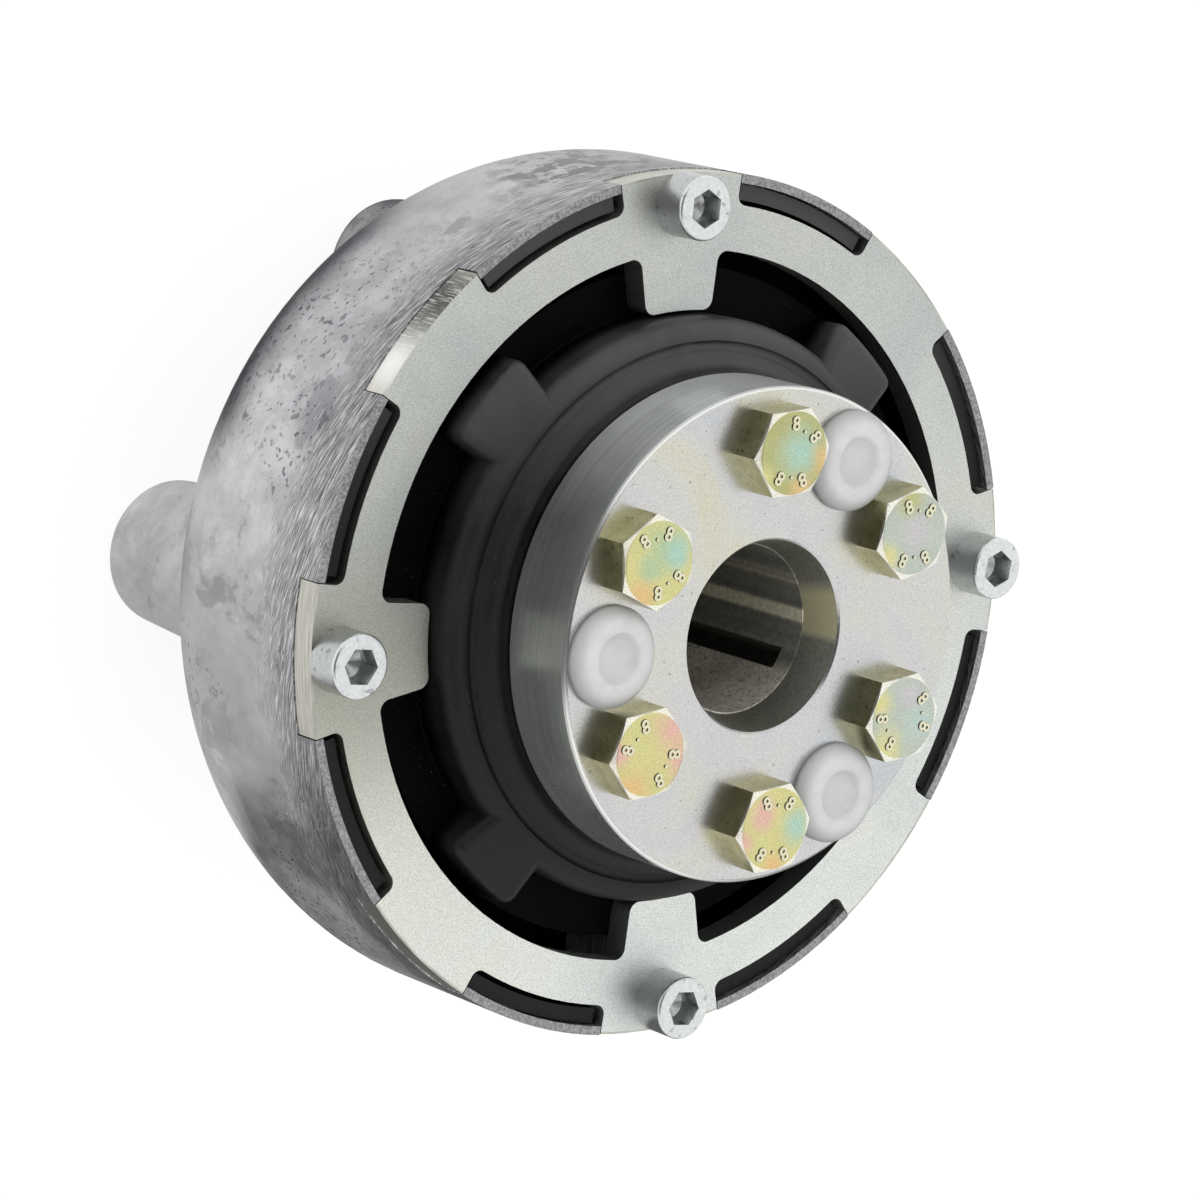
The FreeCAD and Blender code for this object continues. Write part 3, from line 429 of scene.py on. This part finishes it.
# The bolts' sides and scuffs, and the soft edges below their tops
BOLT_SIDE = ((0.35, (0.38, 0.36, 0.18)), (0.65, (0.60, 0.57, 0.32)))
BOLT_SCUFF = (0.08, 0.075, 0.05)
CHAMFER_Z_END = (BOLT_TOP - 0.2 * MM, BOLT_TOP - 0.1 * MM)
BOLT_SIDE_Z_END = (BOLT_TOP - 0.9 * MM, BOLT_TOP - 0.8 * MM)
BOLT_EDGE_Z_END = (BOLT_TOP - 0.9 * MM, BOLT_TOP - 0.2 * MM)
# Each bolt's main tint, and its patches: direction in degrees, distance and reach in mm, tint
BOLT_TINTS = (
    ("olive", (0, 1.5, 8, "cyan"), (-15, 8.3, 5.5, "orange"), (-75, 8, 5, "orange"),
     (-150, 8.5, 4, "yellow")),
    ("silver", (0, 0.5, 6.5, "lilac"), (100, 7.5, 6, "olive"), (-150, 8, 4.5, "yellow")),
    ("silver", (-20, 4, 5.5, "pale blue"), (-130, 8, 7, "yellow"), (70, 5, 4.5, "lilac"),
     (150, 7.5, 5, "yellow")),
    ("yellow", (130, 4.5, 5, "pink"), (0, 6, 6, "cyan"), (190, 8.5, 4, "pink"), (-90, 8, 5, "orange")),
    ("yellow", (40, 7.5, 7, "pink"), (-15, 8, 5.5, "pink"), (-125, 8, 6.5, "orange"),
     (175, 8, 4, "pink")),
    ("yellow", (60, 3.5, 8, "green"), (15, 5, 5, "cyan"), (-125, 7.5, 5.5, "orange"),
     (-160, 2, 4.5, "green")),
)


def yellow_zinc_bolt(number):
    """Chromated zinc in soft patches of colour on the head, with olive sides, darker as painted shade."""
    shader = Shader(f"yellow_zinc_bolt_{number}")
    main, *patches = BOLT_TINTS[number - 1]
    centre = middle_of(f"hex_bolt_{number}") / MM
    darker = tuple(0.85 * part for part in TINTS[main])
    colour = shader.blend(shader.noise(150, 2, 0.4), TINTS[main], darker)
    for direction, out, reach, tint in patches:
        turn = math.radians(direction)
        place = centre + Vector((out * math.cos(turn), out * math.sin(turn), BOLT_TOP / MM))
        colour = shader.blend(shader.patch(place, reach, ragged=2), colour, TINTS[tint])
    chamfer = shader.step(shader.z, CHAMFER_Z_END, 1, 0)
    colour = shader.blend(shader.times(chamfer, 0.85), colour, BARE_ZINC)
    # Olive chromate on the sides, and darker there as painted shade
    side = shader.step(shader.z, BOLT_SIDE_Z_END, 1, 0)
    colour = shader.blend(side, colour, shader.ramp(shader.noise(120, 3, 0.6, shift=6), BOLT_SIDE))
    grain = shader.noise(3000, 2, 0.7)
    colour = shader.tint(colour, shader.step(grain, (0.3, 0.7), 0.84, 1.10))
    scuffs = shader.step(shader.noise(900, 3, 0.6, shift=8), (0.62, 0.68))
    edge = shader.step(shader.z, BOLT_EDGE_Z_END, 1, 0)
    colour = shader.blend(shader.times(scuffs, shader.times(edge, 0.7)), colour, BOLT_SCUFF)
    return shader.finish(Base_Color=colour, Metallic=1.0, Roughness=0.27,
                         Normal=shader.bump(grain, 0.04, 0.6))


# The ring's screws: their colours, and the soft edge below their tops
SCREW_ZINC = ((0.3, (0.62, 0.645, 0.65)), (0.7, (0.84, 0.86, 0.86)))
SCREW_SCUFF = (0.26, 0.26, 0.27)
SCREW_SIDE_Z_END = (SCREW_TOP - 1.0 * MM, SCREW_TOP - 0.6 * MM)


def bright_zinc_screw():
    """Bright zinc with a fine grain, painted shade round its side, and a few scuffs."""
    shader = Shader("bright_zinc_screw")
    grain = shader.noise(1500, 4, 0.7)
    colour = shader.ramp(grain, SCREW_ZINC)
    scuff = shader.step(shader.noise(480, 3, 0.6, shift=4), (0.60, 0.68))
    colour = shader.blend(shader.times(scuff, 0.6), colour, SCREW_SCUFF)
    side = shader.step(shader.z, SCREW_SIDE_Z_END, 1, 0)
    # Painted shade: darker round the side, down to 0.7
    colour = shader.tint(colour, shader.between(side, 1.0, 0.7))
    return shader.finish(Base_Color=colour, Metallic=1.0, Roughness=0.3,
                         Normal=shader.bump(grain, 0.05, 0.7))


# The rubber: its colours, the rise out of the recess, and the way up to its top in the photo
RUBBER = ((0.35, (0.005, 0.005, 0.0051)), (0.7, (0.013, 0.0129, 0.0127)))
RUBBER_DUST = (0.12, 0.115, 0.11)
RUBBER_Z_RISEN = (RIM - 6 * MM, RIM + 1 * MM)
RUBBER_SHEEN_Y_UPPER = (15 * MM, 75 * MM)


def black_rubber():
    """Matt moulded rubber with a grey bloom and pale dust, painted shade down in the recess and a painted
    sheen higher up in Y.
    """
    shader = Shader("black_rubber")
    bloom = shader.noise(40, 5, 0.65, bend=0.6)
    risen = shader.step(shader.z, RUBBER_Z_RISEN)
    # Painted shade in the recess: darker, down to 0.15
    colour = shader.tint(shader.ramp(bloom, RUBBER), shader.between(risen, 0.15, 1.0))
    # Painted sheen higher up in Y: lighter, up to 4 times
    upper = shader.times(risen, shader.step(shader.y, RUBBER_SHEEN_Y_UPPER))
    colour = shader.tint(colour, shader.between(upper, 1.0, 4.0))
    dust = shader.step(shader.noise(1900, 2, 0.4), (0.70, 0.76))
    dusty = shader.step(shader.noise(60, 2, 0.5, shift=4), (0.42, 0.66))
    colour = shader.blend(shader.times(dust, shader.times(dusty, 0.6)), colour, RUBBER_DUST)
    # Specular level low in the recess and raised higher up in Y, as painted shade and sheen
    sheen = shader.plus(shader.between(risen, 0.04, 0.26), shader.times(upper, 0.50))
    roughness = shader.step(bloom, (0.35, 0.7), 0.44, 0.62)
    return shader.finish(Base_Color=colour, Roughness=roughness, Specular_IOR_Level=sheen,
                         Normal=shader.bump(shader.noise(700, 5, 0.7), 0.12, 0.7))


# The caps: their colours
CAP_MILKY = ((0.35, (0.80, 0.815, 0.815)), (0.65, (0.90, 0.91, 0.91)))
CAP_CLEAR = (0.50, 0.525, 0.53)
# Out from the cap's middle: the end of its dish, and the start of its thin rim
CAP_DISH_END = (4.5 * MM, 6.2 * MM)
CAP_RIM_START = (6.6 * MM, 10 * MM)


def frosted_plastic(number):
    """Soft translucent plastic: frosted, clearer in the dish and at the rim, with faint flow marks."""
    shader = Shader(f"frosted_plastic_{number}")
    colour = shader.ramp(shader.noise(170, 3, 0.55, bend=0.8), CAP_MILKY)
    out = shader.distance(middle_of(f"thread_cap_{number}"))
    dish = shader.times(shader.step(out, CAP_DISH_END, 1, 0), 0.18)
    rim = shader.times(shader.step(out, CAP_RIM_START), 0.45)
    clear = shader.most(dish, rim)
    return shader.finish(Base_Color=shader.blend(clear, colour, CAP_CLEAR), Roughness=0.42, IOR=1.45,
                         Transmission_Weight=shader.between(clear, 0.25, 0.5), Specular_IOR_Level=0.3,
                         Subsurface_Weight=0.9, Subsurface_Scale=0.012, Subsurface_Radius=(1, 1, 1),
                         Normal=shader.bump(shader.noise(900, 3, 0.6), 0.05, 0.4))


# The split sleeve: its colours
# Drawn streak colours, whose pale end also gives the painted reflection
SLEEVE_STREAKS_AND_REFLECTION = ((0.36, (0.15, 0.155, 0.145)), (0.50, (0.30, 0.295, 0.26)), (0.64, (0.98, 0.93, 0.74)))
SLEEVE_LOW = ((0.4, (0.60, 0.56, 0.48)), (0.6, (0.84, 0.79, 0.70)))
SLEEVE_PIT = (0.06, 0.055, 0.05)
# Directions about the shaft, in radians from +X: the ends of the broad painted reflection, and
# the slit, where the pitted part ends
REFLECTION_START, REFLECTION_END = (-0.12, 0.0), (0.05, 0.16)
SLIT_DIRECTION = math.radians(-31)
PITTED_END = (SLIT_DIRECTION - 0.2, SLIT_DIRECTION)


def dark_sleeve():
    """Drawn bore with one broad painted reflection above the slit, pale and thickly pitted below it."""
    shader = Shader("dark_sleeve")
    turn = shader.direction()
    drawn = shader.add("TexNoise", {"Vector": shader.add("CombineXYZ", {"X": turn}).outputs["Vector"],
                                    "Scale": 3.2, "Detail": 3}).outputs["Fac"]
    # Painted reflection: one broad pale band above the slit
    broad = shader.least(shader.step(turn, REFLECTION_START), shader.step(turn, REFLECTION_END, 1, 0))
    streaks_and_reflection = shader.plus(shader.times(drawn, 0.55), shader.between(broad, 0.19, 0.40))
    colour = shader.ramp(streaks_and_reflection, SLEEVE_STREAKS_AND_REFLECTION)
    low = shader.step(turn, PITTED_END, 1, 0)
    colour = shader.blend(low, colour, shader.ramp(shader.noise(60, 3, 0.5), SLEEVE_LOW))
    grain = shader.noise(900, 3, 0.65)
    colour = shader.tint(colour, shader.step(grain, (0.35, 0.65), 0.82, 1.08))
    pits = shader.step(shader.noise(1000, 3, 0.6, stretch=(1, 1, 2.4)), (0.56, 0.66))
    pits = shader.times(pits, shader.between(low, 0.25, 0.85))
    colour = shader.blend(pits, colour, SLEEVE_PIT)
    return shader.finish(Base_Color=colour, Metallic=0.6, Roughness=0.5,
                         Normal=shader.bump(shader.minus(grain, pits), 0.08, 0.6))


HUB_STEEL = ((0.3, (0.20, 0.20, 0.19)), (0.7, (0.30, 0.30, 0.285)))


def dark_steel():
    """Plain turned steel, hidden but for the hub's ends."""
    shader = Shader("dark_steel")
    turning = shader.noise(1, 4, 0.6, stretch=(30, 30, 1800))
    return shader.finish(Base_Color=shader.ramp(turning, HUB_STEEL), Metallic=1.0, Roughness=0.4,
                         Normal=shader.bump(turning, 0.06, 0.5))


# Raised figures of the strength class on the bolt heads
FIGURE_SIZE = 4.1 * MM
FIGURE_RISE = 0.26 * MM
FIGURE_CIRCLE = 5.9 * MM
FIGURE_SPREAD = 30
FIGURE_ROUNDNESS = 6
FIGURE_Z_TOP = (BOLT_TOP + FIGURE_RISE * 0.75, BOLT_TOP + FIGURE_RISE)
# Painted shade on the figures' sides, and the colour of their tops
FIGURE_FOOT_SHADE = (0.07, 0.065, 0.035)
FIGURE_TOP = (0.80, 0.77, 0.57)
# Direction of each bolt's two groups, in degrees from +X about the bolt
FIGURE_TURNS = ((58, 262), (77, 271), (204, 6), (82, 264), (134, 323), (98, 298))


def figure_zinc():
    """The bolts' zinc on their raised figures, with painted shade on their sides below the tops."""
    shader = Shader("figure_zinc")
    top = shader.step(shader.z, FIGURE_Z_TOP)
    return shader.finish(Base_Color=shader.blend(top, FIGURE_FOOT_SHADE, FIGURE_TOP), Metallic=1.0,
                         Roughness=0.32, Normal=shader.bump(shader.noise(900, 3, 0.6), 0.04, 0.5))


def dress(names, material):
    """Give CAD nodes a material."""
    for name in names:
        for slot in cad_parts[name].material_slots:
            slot.material = material


def add_object(name, data):
    """A new object in the scene."""
    made = bpy.data.objects.new(name, data)
    bpy.context.scene.collection.objects.link(made)
    return made


def add_piece(name, mesh, material):
    """A new piece of the object, already in its place in the model's frame."""
    piece = add_object(name, mesh)
    mesh.materials.append(material)
    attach(piece, "root")


def add_sheet(name, corners, material):
    """A flat sheet of one face, for staging."""
    mesh = bpy.data.meshes.new(name)
    mesh.from_pydata(corners, [], [(0, 1, 2, 3)])
    mesh.materials.append(material)
    return add_object(name, mesh)


def figure_mesh(text):
    """One raised figure, centred, lying in the XY plane."""
    curve = bpy.data.curves.new("figure", "FONT")
    curve.body = text
    curve.size = FIGURE_SIZE
    curve.align_x = "CENTER"
    curve.align_y = "CENTER"
    curve.extrude = FIGURE_RISE / 2
    curve.bevel_depth = FIGURE_RISE / 2
    curve.resolution_u = FIGURE_ROUNDNESS
    holder = bpy.data.objects.new("figure", curve)
    mesh = bpy.data.meshes.new_from_object(holder)
    bpy.data.objects.remove(holder)
    bpy.data.curves.remove(curve)
    return mesh


def add_bolt_figures(material):
    """Two groups of raised figures round the head of each bolt, with their tops outwards."""
    eight, point = figure_mesh("8"), figure_mesh(".")
    stand = Matrix.Translation((FIGURE_CIRCLE, 0, 0)) @ Matrix.Rotation(math.radians(-90), 4, "Z")
    for number, turns in enumerate(FIGURE_TURNS, start=1):
        head = Matrix.Translation(middle_of(f"hex_bolt_{number}") + Vector((0, 0, BOLT_TOP)))
        form = bmesh.new()
        for turn in turns:
            for mesh, offset in ((eight, FIGURE_SPREAD), (point, 0), (eight, -FIGURE_SPREAD)):
                copy = mesh.copy()
                copy.transform(head @ Matrix.Rotation(math.radians(turn + offset), 4, "Z") @ stand)
                form.from_mesh(copy)
                bpy.data.meshes.remove(copy)
        figures = bpy.data.meshes.new(f"bolt_{number}_figures")
        form.to_mesh(figures)
        form.free()
        add_piece(f"bolt_{number}_figures", figures, material)


def add_camera():
    """The camera of the photograph, from its place and the two directions of its view."""
    camera = bpy.data.cameras.new("camera")
    camera.lens = CAMERA_LENS
    camera.sensor_width = SENSOR_WIDTH
    camera.clip_start, camera.clip_end = CAMERA_REACH
    holder = add_object("camera", camera)
    right = CAMERA_VIEW.cross(CAMERA_UP).normalized()
    up = right.cross(CAMERA_VIEW).normalized()
    turn = Matrix((right, up, -CAMERA_VIEW.normalized())).transposed().to_4x4()
    holder.matrix_world = Matrix.Translation(CAMERA_PLACE) @ turn
    bpy.context.scene.camera = holder


# The floor's half width in metres, its grey under light, and its glow for what sees it
FLOOR_REACH = 6
FLOOR_GREY = (0.16, 0.16, 0.16)
FLOOR_GLOW = 0.88


def add_floor():
    """Pale floor: white to the camera and to reflections, but for the object's shadow."""
    material = bpy.data.materials.new("floor")
    tree = Tree(material, empty=True)
    pale = tree.add("BsdfDiffuse", {"Color": FLOOR_GREY}).outputs[0]
    strength = tree.times(tree.seen(), FLOOR_GLOW)
    glow = tree.add("Emission", {"Color": WHITE, "Strength": strength}).outputs[0]
    both = tree.add("AddShader", {0: pale, 1: glow}).outputs[0]
    tree.add("OutputMaterial", {"Surface": both})
    low, high = -FLOOR_REACH, FLOOR_REACH
    floor = add_sheet("floor", [(low, low, 0), (high, low, 0), (high, high, 0), (low, high, 0)], material)


# Strength of the white world for what sees it, and as a light
WORLD_SEEN = 1.0
WORLD_LIGHT = 0.8


def add_world():
    """White to the camera and to reflections, softer as a light."""
    world = bpy.data.worlds.new("studio")
    bpy.context.scene.world = world
    tree = Tree(world, empty=True)
    light, white = [tree.add("Background", {"Color": WHITE, "Strength": strength}).outputs[0]
                    for strength in (WORLD_LIGHT, WORLD_SEEN)]
    choice = tree.add("MixShader", {0: tree.seen(), 1: light, 2: white}).outputs[0]
    tree.add("OutputWorld", {"Surface": choice})


# Soft boxes that only light the object: name, place and side in metres, and power in watts
SOFT_BOXES = (
    ("light_upper_left", (-1.3, 1.2, 0.7), 1.2, 9),
    ("light_overhead", (-0.3, 0.1, 1.9), 1.6, 9),
    ("light_far_right", (1.1, 1.0, 1.05), 0.7, 5),
)


def add_lights():
    """Square soft boxes aimed at the middle of the rim, unseen by the camera and in reflections."""
    aim = Vector((0, 0, RIM))
    for name, place, side, power in SOFT_BOXES:
        lamp = bpy.data.lights.new(name, "AREA")
        lamp.shape = "SQUARE"
        lamp.size = side
        lamp.energy = power
        holder = add_object(name, lamp)
        holder.location = place
        holder.rotation_euler = (aim - Vector(place)).to_track_quat("-Z", "Y").to_euler()
        holder.visible_camera = False
        holder.visible_glossy = False


# Dark cards that only reflections see: name, corner, first side and second side in metres
CARDS = (
    ("card_low", (-0.5, -0.9, 0.004), (0.9, 0, 0), (0, 0.82, 0)),
    ("card_behind_camera", (-1.25, -0.55, 0.75), (0.85, 0, 0.85), (0, 1.6, 0)),
)
CARD_GREY = (0.15, 0.15, 0.15)


def add_cards():
    """Grey cards that darken some reflections in the metal."""
    material = Shader("card").finish(Base_Color=CARD_GREY, Roughness=1)
    for name, corner, first, second in CARDS:
        start, first, second = Vector(corner), Vector(first), Vector(second)
        card = add_sheet(name, [start, start + first, start + first + second, start + second], material)
        card.visible_camera = False
        card.visible_diffuse = False
        card.visible_shadow = False


add_camera()
dress(["housing"], cast_aluminium())
dress(["retaining_ring"], pale_zinc())
dress(["rubber_element"], black_rubber())
dress(["inner_hub"], dark_steel())
dress(["split_sleeve"], dark_sleeve())
dress(["clamp_flange"], bright_zinc_flange())
for number in range(1, 7):
    dress([f"hex_bolt_{number}"], yellow_zinc_bolt(number))
for number in range(1, 4):
    dress([f"thread_cap_{number}"], frosted_plastic(number))
dress([f"ring_screw_{number}" for number in range(1, 5)], bright_zinc_screw())
add_bolt_figures(figure_zinc())
add_floor()
add_world()
add_lights()
add_cards()
bpy.context.scene.view_settings.view_transform = "Standard"
